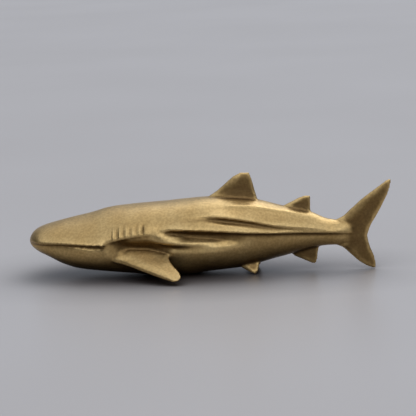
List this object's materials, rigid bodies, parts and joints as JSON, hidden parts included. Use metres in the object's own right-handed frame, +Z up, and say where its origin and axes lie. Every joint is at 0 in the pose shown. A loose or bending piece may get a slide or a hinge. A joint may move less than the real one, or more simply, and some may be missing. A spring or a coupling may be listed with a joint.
{
  "type": "shark figurine",
  "caption": "One-piece shark figurine with a broad flat head, gill slits, long body ridges and a crescent tail, lying on its belly.",
  "frame": {"origin": "on the floor, under the middle of the figurine's length", "axes": "+X from snout to tail, +Y across the body, +Z up from the floor the belly rests on"},
  "size_m": [0.1002, 0.0372, 0.0274],
  "materials": {
    "gold_finish": "satin gold metallic paint"
  },
  "bodies": {
    "root": {"shark": "gold_finish"}
  },
  "joints": []
}
